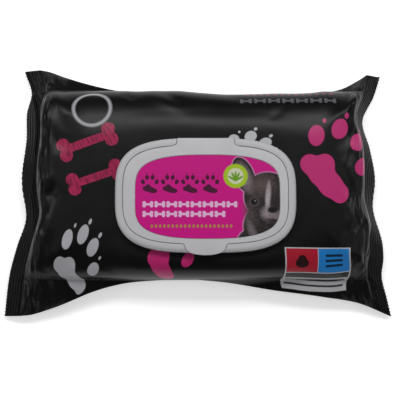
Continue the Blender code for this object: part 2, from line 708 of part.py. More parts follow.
def build():
    for obj in list(bpy.data.objects):
        bpy.data.objects.remove(obj, do_unlink=True)
    pack = bpy.data.collections.new("wet_wipes_pack")
    cutters = bpy.data.collections.new("cutters")
    bpy.context.scene.collection.children.link(pack)
    bpy.context.scene.collection.children.link(cutters)
    film_pouch(pack, cutters)
    wipes_stack(pack)
    closure_frame(pack, cutters)
    flip_lid(pack)
    lid_label(pack)


build()
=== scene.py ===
import math
import bmesh
import bpy
import numpy as np
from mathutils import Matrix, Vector


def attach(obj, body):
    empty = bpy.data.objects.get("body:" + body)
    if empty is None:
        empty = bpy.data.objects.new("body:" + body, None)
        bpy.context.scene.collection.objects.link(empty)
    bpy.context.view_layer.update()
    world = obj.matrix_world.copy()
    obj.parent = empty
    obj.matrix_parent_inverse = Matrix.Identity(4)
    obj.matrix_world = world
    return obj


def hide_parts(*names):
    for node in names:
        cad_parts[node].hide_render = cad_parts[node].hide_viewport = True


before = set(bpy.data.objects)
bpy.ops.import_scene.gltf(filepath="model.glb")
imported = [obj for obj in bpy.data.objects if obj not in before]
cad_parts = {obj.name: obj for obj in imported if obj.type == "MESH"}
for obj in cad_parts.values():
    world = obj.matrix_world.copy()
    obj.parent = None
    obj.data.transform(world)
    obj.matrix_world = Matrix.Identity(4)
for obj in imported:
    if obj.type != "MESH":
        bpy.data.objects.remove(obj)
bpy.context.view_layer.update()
mm = 0.001
fullTurn = 2 * np.pi

# The pouch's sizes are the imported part's own; the wrinkles and fine crimps are added here.
pouch = {
    "columns": 216,              # over the top film, and as many under it
    "bodyStations": 112,
    "stripStations": 30,
    "wipes": (185.6 * mm, 98.0 * mm, 32.5 * mm),   # length, width and height of the folded stack
    "film": 0.4 * mm,
    "baseFilm": 0.8 * mm,
    "endSpace": 11.4 * mm,       # room between the wipes and the mean seal line
    "sideSpace": 12.7 * mm,
    "topSpace": 2.0 * mm,
    "ease": 3.1 * mm,            # what the flat seal is wider than half the film's way round
    "sealThickness": 0.7 * mm,
    "stripDepth": 12.0 * mm,
    "stripSkew": 4.2 * mm,       # how far the right strip's front corner is pulled out
    "crimpPitch": 2.0 * mm,
    "crimpHeight": 0.22 * mm,
    "toothPitch": 2.0 * mm,
    "toothDepth": 0.6 * mm,
    "toothInset": 0.3 * mm,
    "sideLevel": 14.0 * mm,      # height of the sides' widest line
    "sealLevel": 15.0 * mm,      # height of the seals in their middles
    "sealDroop": 7.5 * mm,       # how far the seals' corners hang below their middles
    "endFace": 17.0 * mm,        # length over which the film rises from a seal to the top
    "endReach": 40.0 * mm,       # how far from the seals their line and level are felt
    "roundReach": 45.0 * mm,
    "sealPower": 2.1, "bodyPower": 1.2,   # squareness of the rings at a seal, and what the body adds
    "gathers": [(0.16, 9.0, 0.7), (0.10, 15.0, -1.0)],   # puckers of the end faces: share, waves, phase
    "flatRing": (1.10, 1.55),    # the flat top round the closure ends between these distances
    "wingShare": 0.55,           # fullness of the flared sides against the box over the wipes
    "offset": 3.2 * mm,          # the pack's middle line lies this far behind the origin
    # left and right seal line, from the front corner (-1) to the back corner (+1): place across,
    # reach past the mean line in mm, droop of the strip in degrees
    "seals": {-1: [(-1.0, 13.1, 20), (-0.62, 9.1, 20), (-0.42, 5.0, 22), (-0.22, 0.5, 28),
                   (0.06, 2.8, 22), (0.42, 0.6, 24), (0.64, 1.0, 26), (0.80, -1.0, 30), (1.0, 3.4, 22)],
              1: [(-1.0, 7.6, 20), (-0.84, 4.6, 20), (-0.66, 1.6, 22), (-0.52, 3.0, 24),
                  (-0.40, 3.0, 28), (-0.31, 3.9, 45), (-0.10, 0.6, 52), (0.10, 0.7, 42),
                  (0.36, -0.5, 52), (0.62, -3.2, 60), (0.82, 2.0, 46), (1.0, 5.0, 34)]},
    # side outlines: share of the way to the seal, share of the flare
    "backLeft": [(0.0, -0.07), (0.12, 0.0), (0.50, 0.03), (0.66, 0.24), (0.84, 0.65), (0.95, 0.94),
                 (1.0, 1.0)],
    "backRight": [(0.0, -0.07), (0.12, -0.13), (0.45, -0.11), (0.72, -0.04), (0.86, 0.20), (0.95, 0.57),
                  (1.0, 0.80)],
    "frontLeft": [(0.0, 0.0), (0.28, 0.02), (0.50, 0.13), (0.66, 0.34), (0.84, 0.79), (0.94, 0.97),
                  (1.0, 1.0)],
    "frontRight": [(0.0, 0.0), (0.16, 0.07), (0.45, 0.29), (0.74, 0.48), (0.92, 0.66), (1.0, 0.82)],
    # creases: from x, y to x, y, as shares of the way to the seal and of the body's half-width,
    # then height and half-width in mm
    "creases": [(-0.78, 0.62, -0.99, 1.12, 1.6, 5.0), (-0.8, -0.6, -1.04, -1.16, 1.8, 5.5),
                (-0.7, -0.78, -0.96, -0.98, -1.2, 4.5), (-0.9, -0.1, -0.99, -0.34, -1.2, 4.0),
                (-0.86, 0.34, -0.97, 0.62, -1.0, 4.5), (0.82, 0.6, 1.06, 1.12, 1.8, 5.0),
                (0.88, 0.4, 1.03, 0.78, -1.3, 4.2), (0.84, -0.62, 1.12, -1.18, 2.0, 5.0),
                (0.76, -0.8, 1.02, -1.0, -1.2, 5.0), (0.93, -0.12, 1.03, -0.42, -1.4, 4.2),
                (-0.12, 0.74, -0.34, 0.98, 0.5, 4.0)],
    # wrinkles: finer creases of the same kind, mostly along the seals
    "wrinkles": [(-0.985, 0.88, -0.985, 0.1, 0.6, 1.7), (-0.95, 0.8, -0.955, 0.15, -0.5, 1.5),
                 (-0.915, 0.7, -0.925, 0.25, 0.4, 1.6), (-1.0, -0.03, -0.9, 0.04, 0.6, 2.2),
                 (-0.99, -0.17, -0.9, -0.12, -0.6, 2.4), (-0.98, -0.32, -0.97, -0.54, -0.8, 2.2),
                 (-1.0, -0.5, -1.06, -1.2, 0.6, 1.6), (-0.95, -0.52, -1.02, -1.2, 0.5, 1.6),
                 (0.985, 0.9, 0.95, 0.5, 0.7, 1.8), (0.95, 0.45, 0.975, 0.08, 0.6, 1.8),
                 (0.975, 0.05, 0.99, -0.3, -0.6, 1.8), (0.93, 0.6, 0.91, 0.2, -0.5, 2.4),
                 (0.955, -0.32, 1.0, -0.55, -0.8, 2.4), (0.93, -0.74, 1.05, -1.02, 0.9, 2.2),
                 (0.9, -0.45, 0.96, -0.8, 0.5, 2.0), (-0.45, 0.93, -0.41, 0.86, -0.7, 2.4),
                 (-0.23, 0.97, -0.1, 0.82, -0.6, 2.6), (0.54, 0.82, 0.44, 0.62, -0.4, 2.6),
                 (-0.66, -0.9, -0.52, -0.97, 0.6, 2.0), (0.14, 0.95, 0.3, 0.84, -0.4, 3.0),
                 (-0.3, -0.88, -0.05, -0.8, -0.35, 3.0), (0.3, -0.8, 0.52, -0.9, -0.35, 2.6)],
}

closure = {
    "around": 360,
    "length": 113.6 * mm, "width": 72.2 * mm, "height": 7.0 * mm,
    "x": 4.9 * mm, "y": -7.1 * mm,   # its middle on the pack
    "powers": (3.27, 3.27),          # of the squared oval that all its outlines follow
    "rim": 4.8 * mm, "wall": 1.2 * mm, "floor": 1.2 * mm, "lid": 1.3 * mm,
    "crest": (2.4 * mm, 0.45 * mm),  # radii of the rim's crest, outside and inside
    "ledge": 0.9 * mm, "line": 0.28 * mm,   # ledge under the lid's edge; the joint line's width as moulded
    "window": (64.0 * mm, 32.0 * mm), "dieInset": 2.5 * mm,
    "collarWall": 1.1 * mm, "collarHeight": 3.2 * mm, "collarGap": 0.45 * mm,
    "ringWall": 1.0 * mm, "ringDepth": 3.4 * mm,      # the lid's sealing ring, which goes over the collar
    "hingeWidth": 36.2 * mm, "hingeFillet": 2.2 * mm, "hingeCorner": 1.2 * mm,
    "tabWidth": 26.0 * mm, "tabReach": 2.0 * mm, "tabFillet": 1.6 * mm,
    "lidRound": 0.4 * mm, "foot": 0.3 * mm,           # radius of the lid's edge; chamfers on the floor
    "seat": 0.3 * mm,                # gap between pieces that touch in the real pack
}

label = {
    "length": 90.4 * mm, "width": 52.6 * mm, "thickness": 0.25 * mm,
    "x": 1.2 * mm, "y": -1.4 * mm, "powers": (2.65, 4.2), "edge": 0.08 * mm,
}

stackBase = pouch["baseFilm"] + closure["seat"]
bodyWidth = pouch["wipes"][1] + 2 * pouch["sideSpace"]
bodyHeight = stackBase + pouch["wipes"][2] + pouch["topSpace"] + pouch["film"]
sealWidth = bodyWidth + bodyHeight + pouch["ease"]
frameBase = bodyHeight + closure["seat"]
closureTop = frameBase + closure["height"]
lidBase = closureTop - closure["lid"]
frameFloor = frameBase + closure["floor"]
recessFloor = closureTop - label["thickness"] - closure["seat"]


def smooth(x, low, high):  # 0 below low, 1 above high, 3t^2 - 2t^3 between them
    t = np.clip((x - low) / (high - low), 0.0, 1.0)
    return t * t * (3.0 - 2.0 * t)


def through(points, x):  # cubic Hermite curve through a few points, for whole arrays
    xs, ys = np.array(points, float).T
    slopes = np.gradient(ys, xs)
    k = np.clip(np.searchsorted(xs, x) - 1, 0, len(xs) - 2)
    span = xs[k + 1] - xs[k]
    t = (x - xs[k]) / span
    return ((1 + 2 * t) * (1 - t) ** 2 * ys[k] + t * (1 - t) ** 2 * span * slopes[k]
            + t * t * (3 - 2 * t) * ys[k + 1] + t * t * (t - 1) * span * slopes[k + 1])


def signedPower(x, power):  # |x|^power with the sign of x
    return np.sign(x) * np.abs(x) ** power


def oval(t, length, width, powers):  # x = a cos(t)^(2/p), y = b sin(t)^(2/q), with their signs
    return np.stack([0.5 * length * signedPower(np.cos(t), 2 / powers[0]),
                     0.5 * width * signedPower(np.sin(t), 2 / powers[1])], axis=-1)


def inset(points, distance):  # closed anticlockwise outline with each point moved along its inward normal
    along = np.roll(points, -1, axis=0) - np.roll(points, 1, axis=0)
    along /= np.linalg.norm(along, axis=1)[:, None]
    return points + np.stack([-along[:, 1], along[:, 0]], axis=1) * distance


def resample(points, count):  # closed outline again with points at equal steps along it
    closed = np.vstack([points, points[:1]])
    run = np.concatenate([[0.0], np.cumsum(np.linalg.norm(np.diff(closed, axis=0), axis=1))])
    at = np.linspace(0, run[-1], count, endpoint=False)
    return np.stack([np.interp(at, run, closed[:, k]) for k in (0, 1)], axis=1)


def inScene(name, data):  # object at the origin, in the scene
    made = bpy.data.objects.new(name, data)
    bpy.context.scene.collection.objects.link(made)
    return made


def meshObject(name, verts, faces, uv=None):  # uv holds a place for each corner of each face
    mesh = bpy.data.meshes.new(name)
    mesh.from_pydata(verts.tolist(), [], faces)
    if uv is not None:
        layer = mesh.uv_layers.new(name="flat")
        layer.data.foreach_set("uv", np.asarray(uv, float).ravel())
    mesh.update()
    mesh.shade_smooth()
    return inScene(name, mesh)


def quads(rows, columns, wrapRows, wrapColumns):  # quads of a grid, as an array of vertex numbers
    i = np.arange(rows if wrapRows else rows - 1)[:, None]
    j = np.arange(columns if wrapColumns else columns - 1)[None, :]
    i2, j2 = (i + 1) % rows, (j + 1) % columns
    corners = [i * columns + j, i * columns + j2, i2 * columns + j2, i2 * columns + j]
    return np.stack(corners, axis=-1).reshape(-1, 4)


def ringMesh(name, rings, wrap):  # closed rings of equal count skinned in order, capped unless they wrap
    points = np.array(rings)
    rows, columns = points.shape[:2]
    faces = quads(rows, columns, wrap, True).tolist()
    if not wrap:
        faces.append(list(range(columns))[::-1])
        faces.append(list(range((rows - 1) * columns, rows * columns)))
    return meshObject(name, points.reshape(-1, 3), faces)


def outward(obj):  # turns every face of a closed piece outwards
    work = bmesh.new()
    work.from_mesh(obj.data)
    bmesh.ops.recalc_face_normals(work, faces=work.faces)
    work.to_mesh(obj.data)
    work.free()
    return obj


def cutBy(obj, cutter):  # boolean difference, applied, with the cutter removed
    step = obj.modifiers.new("cut", "BOOLEAN")
    step.operation, step.solver, step.object = "DIFFERENCE", "EXACT", cutter
    graph = bpy.context.evaluated_depsgraph_get()
    made = bpy.data.meshes.new_from_object(obj.evaluated_get(graph))
    obj.modifiers.clear()
    obj.data = made
    bpy.data.objects.remove(cutter, do_unlink=True)
    return obj


def placed(outline, z):  # closure outline about its own middle, put at a height
    x, y = outline.T
    return np.column_stack([x + closure["x"], y + closure["y"], np.full(len(outline), z)])


# Pouch surface: a closed ring of film at each station along the pack. Over the wipes the ring is a
# rounded box, and towards the seals it tapers to wings and then to the flat crimped strip.

def cornerReach(side):  # front corner past the mean seal line: its table's reach and the drooping strip
    _, reach, droop = pouch["seals"][side][0]
    return reach * mm + pouch["stripDepth"] * math.cos(math.radians(droop))


stackMiddle = 0.5 * (cornerReach(-1) - cornerReach(1))


def meanSeal(side):  # x of the mean seal line: half the wipes and the room at their end
    return stackMiddle + side * (0.5 * pouch["wipes"][0] + pouch["endSpace"])


def sealLine(side, v):  # inner edge, outer edge, inner height and droop of a strip, for an array v
    table = np.array(pouch["seals"][side])
    out = through(table[:, [0, 1]], v) * mm
    droop = np.radians(through(table[:, [0, 2]], v))
    inner = meanSeal(side) + side * out
    outer = inner + side * pouch["stripDepth"] * np.cos(droop)
    level = pouch["sealLevel"] - pouch["sealDroop"] * np.abs(v) ** 2.2
    return inner, outer, level, droop


def sideEdges(x):  # front and back edges of the film at x
    share = np.minimum(1.0, np.abs(x) / np.where(x < 0, -meanSeal(-1), meanSeal(1)))
    back = np.where(x < 0, through(pouch["backLeft"], share), through(pouch["backRight"], share))
    front = np.where(x < 0, through(pouch["frontLeft"], share), through(pouch["frontRight"], share))
    body, seal = 0.5 * bodyWidth, 0.5 * sealWidth
    return (pouch["offset"] - body - front * (seal - body + pouch["offset"]),
            pouch["offset"] + body + back * (seal - body - pouch["offset"]))


def nearEnd(x):  # distance to the nearer mean seal line
    return np.minimum(x - meanSeal(-1), meanSeal(1) - x)


def creaseLift(x, y):  # sum of ridges h exp(-(d/w)^2), d from each crease's line, which fades at both ends
    lift = np.zeros_like(x)
    for fromX, fromY, toX, toY, height, halfWidth in pouch["creases"] + pouch["wrinkles"]:
        reach = abs(meanSeal(-1 if fromX < 0 else 1))
        ax, ay = fromX * reach, pouch["offset"] + 0.5 * fromY * bodyWidth
        bx, by = toX * reach, pouch["offset"] + 0.5 * toY * bodyWidth
        rx, ry = bx - ax, by - ay
        along = np.clip(((x - ax) * rx + (y - ay) * ry) / (rx * rx + ry * ry), -0.3, 1.2)
        away = np.hypot(x - ax - along * rx, y - ay - along * ry)
        fade = smooth(along, -0.3, 0.25) * (1.0 - smooth(along, 0.8, 1.2))
        lift += height * mm * fade * np.exp(-(away / (halfWidth * mm)) ** 2)
    return lift


def closureDistance(x, y):  # 1 on the closure's outline and more outside it
    u = np.abs(x - closure["x"]) / (0.5 * closure["length"])
    w = np.abs(y - closure["y"]) / (0.5 * closure["width"])
    power = closure["powers"][0]
    return (u ** power + w ** power) ** (1 / power)


def fullness(y, edges, box, power):  # (box^4 + wing^4)^(1/4), each a squared-oval profile across the pack
    def profile(low, high, p, q):
        share = np.abs((y - 0.5 * (low + high)) / (0.5 * (high - low)))
        return np.maximum(0.0, 1.0 - share ** p) ** (1 / q)
    wing = pouch["wingShare"] * profile(edges[0], edges[1], 1.9, 1.25)
    return np.minimum(1.0, (profile(box[0], box[1], power, 2.4) ** 4 + wing ** 4) ** 0.25)


# Stations x down the rows and ring angles across; shrink 1 gives the film's inside. Each ring is
# y = middle + half |cos|^(2/p), and z is the upper or lower film: a level line plus the rise from the
# seal, 1 - (1 - t)^4 to the power 1/3, times the fullness across.
def bodySurface(x, angle, shrink):
    c, s = np.cos(angle), np.sin(angle)
    c, s = np.where(np.abs(c) < 1e-9, 0.0, c), np.where(np.abs(s) < 1e-9, 0.0, s)
    front, back = sideEdges(x)
    thin = shrink * 2 * pouch["film"]
    edges = (front + thin, back - thin)
    box = (np.maximum(edges[0], pouch["offset"] - 0.5 * bodyWidth + thin),
           np.minimum(edges[1], pouch["offset"] + 0.5 * bodyWidth - thin))
    middle, half = 0.5 * (edges[0] + edges[1]), 0.5 * (edges[1] - edges[0])
    power = pouch["sealPower"] + pouch["bodyPower"] * smooth(nearEnd(x), 0.0, pouch["roundReach"])
    ends = 1.0 - smooth(nearEnd(x), 0.0, pouch["endReach"])
    side = np.where(x < 0, -1.0, 1.0)
    innerLeft, _, level, _ = sealLine(-1, c)
    innerRight = sealLine(1, c)[0]
    px = x + ends * np.where(x < 0, innerLeft - meanSeal(-1), innerRight - meanSeal(1))
    py = middle + half * np.sign(c) * np.abs(c) ** (2 / power)
    line = pouch["sideLevel"] + (level - pouch["sideLevel"]) * ends
    gather = 1.0
    for part, waves, phase in pouch["gathers"]:
        gather = gather + part * np.cos(waves * c + phase * side)
    away = np.clip((nearEnd(x) - shrink * 3 * pouch["film"]) / (pouch["endFace"] * gather), 0.0, 1.0)
    rise = (1.0 - (1.0 - away) ** 4) ** (1 / 3)
    skin = 0.5 * pouch["sealThickness"] - shrink * pouch["film"]
    top = bodyHeight - shrink * pouch["film"]
    up = line + skin + (top - line - skin) * rise * fullness(py, edges, box, 5.0)
    flat = 1.0 - smooth(closureDistance(px, py), *pouch["flatRing"])
    up = np.minimum(up + creaseLift(px, py) * (1.0 - flat) * np.minimum(1.0, rise + 0.3), top)
    up = up + (top - up) * flat
    depth = (line + 1.0 * mm - shrink * pouch["film"] - skin) * rise
    down = line - skin - depth * fullness(py, edges, box, 7.0)
    down = np.maximum(down, shrink * pouch["baseFilm"])
    edge = np.minimum(1.0, np.abs(s) / 0.02)
    pz = line + (np.where(s > 0, up, down) - line) * edge
    return np.stack([px, py, pz], axis=-1)


def stripSurface(side, share, angle):  # crimped strip: wavy across its depth, with a zigzag outer edge
    c, s = np.cos(angle), np.sin(angle)
    front, back = sideEdges(np.array(meanSeal(side)))
    front = front - (share * pouch["stripSkew"] if side > 0 else 0.0)
    middle, half = 0.5 * (front + back), 0.5 * (back - front)
    inner, outer, level, droop = sealLine(side, c)
    py = middle + half * signedPower(c, 2 / pouch["sealPower"])
    tooth = np.abs(((py - front) / pouch["toothPitch"]) % 1.0 - 0.5) * 2
    outer = outer - side * (pouch["toothInset"] + tooth * pouch["toothDepth"]) * np.cos(droop)
    px = inner + share * (outer - inner)
    line = np.maximum(level - share * pouch["stripDepth"] * np.sin(droop), 2 * mm)
    wave = pouch["crimpHeight"] * np.sin(2 * np.pi * share * pouch["stripDepth"] / pouch["crimpPitch"])
    wave = wave * smooth(share, 0.0, 0.12)
    skin = 0.5 * pouch["sealThickness"] * np.clip(s / 0.02, -1.0, 1.0)
    return np.stack(np.broadcast_arrays(px, py, line + skin + wave), axis=-1)


def ringAngles(half):  # from the fin seal under the pack, round the front, over the top and back
    return -0.5 * np.pi - np.linspace(0, fullTurn, 2 * half, endpoint=False)[None, :]


def stationPlaces(count):  # 0.55 t + 0.45 sin(pi t / 2), which sets them closer together near the seals
    t = np.linspace(-1, 1, count)
    spread = 0.55 * t + 0.45 * np.sin(0.5 * np.pi * t)
    middle, reach = 0.5 * (meanSeal(-1) + meanSeal(1)), 0.5 * (meanSeal(1) - meanSeal(-1)) - 0.6 * mm
    return (middle + spread * reach)[:, None]


def ladderFaces(rows, columns):  # quads round the rings, and both ends closed between upper and lower film
    faces = quads(rows, columns, False, True)[:, ::-1].tolist()
    order = (np.arange(columns) + columns // 4) % columns   # from the front edge over the top
    upper, lower = order[:columns // 2 + 1], order[-np.arange(columns // 2 + 1)]
    for start, turn in ((0, 1), ((rows - 1) * columns, -1)):
        rungs = (start + np.stack([upper[:-1], upper[1:], lower[1:], lower[:-1]], axis=1)).tolist()
        rungs[0] = rungs[0][:3]   # triangles where upper and lower film meet
        del rungs[-1][2]
        faces += [rung[::turn] for rung in rungs]
    return faces


def flatPlaces(points):  # film coordinates in metres: x and y on the flat top, and the film's own run past it
    rows, columns = points.shape[:2]

    def run(places, axis):
        return np.cumsum(np.linalg.norm(np.diff(places, axis=axis), axis=2), axis=axis)
    closed = np.concatenate([points, points[:, :1]], axis=1)
    across = np.concatenate([np.zeros((rows, 1)), run(closed, 1)], axis=1)
    across += points[:, columns // 2, 1][:, None] - across[:, columns // 2][:, None]
    along = np.concatenate([np.zeros((1, columns)), run(points, 0)])
    middle = int(np.argmin(np.abs(points[:, columns // 2, 0])))
    along -= along[middle][None, :] - points[middle, :, 0][None, :]
    along = np.concatenate([along, along[:, :1]], axis=1)
    return np.stack([along, across], axis=-1)


def makePouch():  # left strip, body and right strip as one shell, with the print's coordinates
    angle = ringAngles(pouch["columns"])
    share = np.linspace(1, 0, pouch["stripStations"] + 1)[:, None]
    points = np.concatenate([stripSurface(-1, share, angle),
                             bodySurface(stationPlaces(pouch["bodyStations"]), angle, 0.0),
                             stripSurface(1, share[::-1], angle)])
    rows, columns = points.shape[:2]
    faces = ladderFaces(rows, columns)
    corner = quads(rows, columns + 1, False, False)[:, ::-1].reshape(-1)
    uv = flatPlaces(points).reshape(-1, 2)[corner]
    spare = sum(len(f) for f in faces[(rows - 1) * columns:])   # the ends' corners take no print
    uv = np.vstack([uv, np.full((spare, 2), 0.5)])
    return meshObject("pouch_film", points.reshape(-1, 3), faces, uv)


def makeCavity():  # the film's inside, a film's thickness smaller all round
    angle = ringAngles(60)
    points = bodySurface(stationPlaces(60)[4:-4], angle, 1.0)
    return outward(meshObject("cavity", points.reshape(-1, 3), ladderFaces(*points.shape[:2])))


def makeDieCut():  # squared oval prism, a little smaller than the frame's window
    t = np.linspace(0, fullTurn, 160, endpoint=False)
    length, width = (side - 2 * closure["dieInset"] for side in closure["window"])
    die = oval(t, length, width, closure["powers"])
    return outward(ringMesh("die", [placed(die, 0.6 * bodyHeight), placed(die, 1.5 * bodyHeight)], False))


print("pouch film")
film = makePouch()
outward(film)
cutBy(film, makeCavity())
cutBy(film, makeDieCut())
film.data.shade_smooth()
film.data.set_sharp_from_angle(angle=math.radians(50))
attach(film, "pack")
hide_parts("film_pouch")


def lidOutline():  # rim's inner line, with the hinge strip at the back and the half-moon tab at the front
    t = np.linspace(0, fullTurn, 720, endpoint=False)
    outer = oval(t, closure["length"], closure["width"], closure["powers"])
    plate = inset(outer, closure["rim"] + closure["line"])
    back, seat = 0.5 * closure["width"] - closure["seat"], plate[:, 1].max()
    front = 0.5 * closure["width"] + closure["tabReach"]
    hinge, tab = 0.5 * closure["hingeWidth"], 0.5 * closure["tabWidth"]
    hollow, corner, fillet = closure["hingeFillet"], closure["hingeCorner"], closure["tabFillet"]

    def arc(cx, cy, radius, start, end, steps):
        a = np.radians(np.linspace(start, end, steps))
        return np.stack([cx + radius * np.cos(a), cy + radius * np.sin(a)], axis=1)
    right = np.vstack([arc(hinge + hollow, seat + hollow, hollow, -90, -180, 16),
                       arc(hinge - corner, back - corner, corner, 0, 90, 12)])
    left = right[::-1] * (-1, 1)
    low = plate[:, 1].min()
    side = arc(-tab - fillet, low - fillet, fillet, 90, 15, 12)
    a = np.linspace(0.12, np.pi - 0.12, 60)
    moon = np.stack([-(tab - 0.4 * mm) * np.cos(a),
                     low - fillet - (front + low - fillet) * np.sin(a) ** 0.8], axis=1)
    notch, reach = hinge + hollow + 0.5 * mm, tab + fillet + 0.5 * mm
    x, y = plate.T
    leftSide = (x < 0) & ~((np.abs(x) < notch) & (y > 0)) & ~((np.abs(x) < reach) & (y <= 0))
    return resample(np.vstack([plate[(x > notch) & (y >= 0)], right, left, plate[leftSide],
                               side, moon, side[::-1] * (-1, 1), plate[(x > reach) & (y < 0)]]), 480)


def matching(points, length, width, powers):  # squared oval with a point in each outline point's direction
    u = np.abs(points[:, 0]) / (0.5 * closure["length"])
    w = np.abs(points[:, 1]) / (0.5 * closure["width"])
    power = 0.5 * closure["powers"][0]
    t = np.arctan2(w ** power, u ** power)
    return oval(t, length, width, powers) * np.where(points < 0, -1.0, 1.0)


# One closed cross-section goes round the outline: outer wall, crest of two quarter rounds, ledge,
# floor, collar with a half-round top, window, and the channel under the rim.
def makeFrame():
    t = np.linspace(0, fullTurn, closure["around"], endpoint=False)
    outer = oval(t, closure["length"], closure["width"], closure["powers"])
    rim, wall, foot, half = closure["rim"], closure["wall"], closure["foot"], 0.5 * closure["collarWall"]
    wide, narrow = closure["crest"]
    ledge, inner = lidBase - 2 * closure["seat"], rim + closure["ledge"]
    collarTop, channel = frameFloor + closure["collarHeight"], closureTop - wall
    quarter = np.linspace(0, 0.5 * np.pi, 12)
    over = [(0.0, frameBase)]   # inset from the outline, height
    over += [(wide * (1 - np.cos(k)), closureTop - wide * (1 - np.sin(k))) for k in quarter]
    over += [(rim - narrow * (1 - np.cos(k)), closureTop - narrow * (1 - np.sin(k))) for k in quarter[::-1]]
    over += [(rim, ledge), (inner - 0.2 * mm, ledge), (inner, ledge - 0.2 * mm),
             (inner, frameFloor + foot), (inner + foot, frameFloor)]
    collar = [(2 * half + foot, frameFloor), (2 * half, frameFloor + foot)]   # growth of the window, height
    collar += [(half + half * np.cos(k), collarTop - half + half * np.sin(k))
               for k in np.linspace(0, np.pi, 9)]
    collar += [(0.0, frameBase)]
    under = [(rim - wall, frameBase), (rim - wall, channel - 1.2 * mm), (2.6 * mm, channel),
             (wall + 0.2 * mm, channel - 1.0 * mm), (wall, frameBase)]
    length, width = closure["window"]
    rings = [placed(inset(outer, d), z) for d, z in over]
    rings += [placed(oval(t, length + 2 * d, width + 2 * d, closure["powers"]), z) for d, z in collar]
    rings += [placed(inset(outer, d), z) for d, z in under]
    body = outward(ringMesh("closure_rim", rings, True))
    clearing = inset(lidOutline(), -closure["line"])
    cutter = outward(ringMesh("clearing", [placed(clearing, lidBase - closure["seat"]),
                                           placed(clearing, closureTop + 10 * mm)], False))
    cutBy(body, cutter)
    body.data.shade_smooth()
    body.data.set_sharp_from_angle(angle=math.radians(40))
    return body


def makeLid():  # from the label's recess over the top and the rounded edge to the sealing ring underneath
    outline = lidOutline()
    collar = 2 * (closure["collarWall"] + closure["collarGap"])
    low, outside = lidBase - closure["ringDepth"], collar + 2 * closure["ringWall"]

    def recess(grow):
        return matching(outline, label["length"] + 2 * grow, label["width"] + 2 * grow,
                        label["powers"]) + (label["x"], label["y"])

    def sealing(grow):
        return matching(outline, closure["window"][0] + grow, closure["window"][1] + grow, closure["powers"])
    seat, radius = closure["seat"], closure["lidRound"]
    rings = [placed(recess(seat), recessFloor), placed(recess(seat), closureTop - 0.1 * mm),
             placed(recess(seat + 0.1 * mm), closureTop)]
    rings += [placed(inset(outline, radius * (1 - np.sin(k))), closureTop - radius * (1 - np.cos(k)))
              for k in np.linspace(0, 0.5 * np.pi, 8)]
    rings += [placed(outline, lidBase), placed(sealing(outside), lidBase),
              placed(sealing(outside - 0.2 * mm), low), placed(sealing(collar), low),
              placed(sealing(collar), lidBase)]
    lid = outward(ringMesh("lid_plate", rings, False))
    lid.data.set_sharp_from_angle(angle=math.radians(40))
    return lid


def makeLabel():  # squared oval sheet with a small bevel
    t = np.linspace(0, fullTurn, 240, endpoint=False)
    outline = oval(t, label["length"], label["width"], label["powers"]) + (label["x"], label["y"])
    low = recessFloor + closure["seat"]
    high, bevel = low + label["thickness"], label["edge"]
    rings = [placed(outline, low), placed(outline, high - bevel), placed(inset(outline, bevel), high)]
    sheet = outward(ringMesh("label_print", rings, False))
    sheet.data.set_sharp_from_angle(angle=math.radians(30))
    return sheet


print("closure")
rimPiece = makeFrame()
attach(rimPiece, "pack")
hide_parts("closure_frame")
lidPiece = makeLid()
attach(lidPiece, "lid")
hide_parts("flip_lid")
labelPiece = makeLabel()
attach(labelPiece, "lid")
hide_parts("lid_label")

stack = {"layers": 40, "sag": 8.2 * mm, "bulge": 0.35, "fold": 1.2 * mm, "across": 120, "along": 160}


def makeStack():  # sides with a bulge |sin| for each folded sheet, plain ends, and a top sheet with a fold
    deep, wide, high = pouch["wipes"]
    z = np.linspace(0, 1, stack["layers"] * 4 + 1)
    half = 0.5 * wide - stack["sag"] * np.abs(2 * z - 1) ** 5
    between = 1 - np.abs(np.sin(np.pi * z * stack["layers"]))
    half = half - stack["bulge"] * high / stack["layers"] * between
    across = np.linspace(1, -1, stack["across"])[1:-1]
    topY = across * half[-1]
    fold = stack["fold"] * smooth(topY, -3 * mm, -1 * mm) * (1 - smooth(topY, 5 * mm, 8 * mm))
    profileY = np.concatenate([half, topY, -half[::-1]])
    profileZ = np.concatenate([z * high, high + fold, z[::-1] * high])
    x = stackMiddle + 0.5 * deep * np.sin(0.5 * np.pi * np.linspace(-1, 1, stack["along"]))
    xs, ys = np.meshgrid(x, profileY + pouch["offset"], indexing="ij")
    zs = np.repeat((profileZ + stackBase)[None, :], len(x), axis=0)
    points = np.stack([xs, ys, zs], axis=-1)
    return outward(ringMesh("wipes", list(points), False))


print("wipes")
wipes = makeStack()
wipes.data.set_sharp_from_angle(angle=math.radians(50))
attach(wipes, "pack")
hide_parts("wipes_stack")


def linear(code, alpha=1.0):  # sRGB hex to linear
    parts = [int(code[k:k + 2], 16) / 255 for k in (1, 3, 5)]
    return tuple(c / 12.92 if c <= 0.04045 else ((c + 0.055) / 1.055) ** 2.4 for c in parts) + (alpha,)


def add(tree, kind, values=None, links=None, **settings):  # one node with settings, values and links, if any
    node = tree.nodes.new("ShaderNode" + kind)
    for key, value in settings.items():
        setattr(node, key, value)
    for key, value in (values or {}).items():
        node.inputs[key].default_value = value
    for key, source in (links or {}).items():
        if source is not None:
            tree.links.new(source, node.inputs[key])
    return node


def newMaterial(name):
    made = bpy.data.materials.new(name)
    made.use_nodes = True
    tree = made.node_tree
    return made, tree, tree.nodes["Principled BSDF"]


def linkAll(tree, shader, sources):  # each named socket of the shader from its source
    for key, source in sources.items():
        tree.links.new(source, shader.inputs[key])


def relief(tree, layers):  # bumps laid one over another: height, strength, depth
    normal = None
    for height, strength, depth in layers:
        normal = add(tree, "Bump", {"Strength": strength, "Distance": depth},
                     {"Height": height, "Normal": normal}).outputs["Normal"]
    return normal


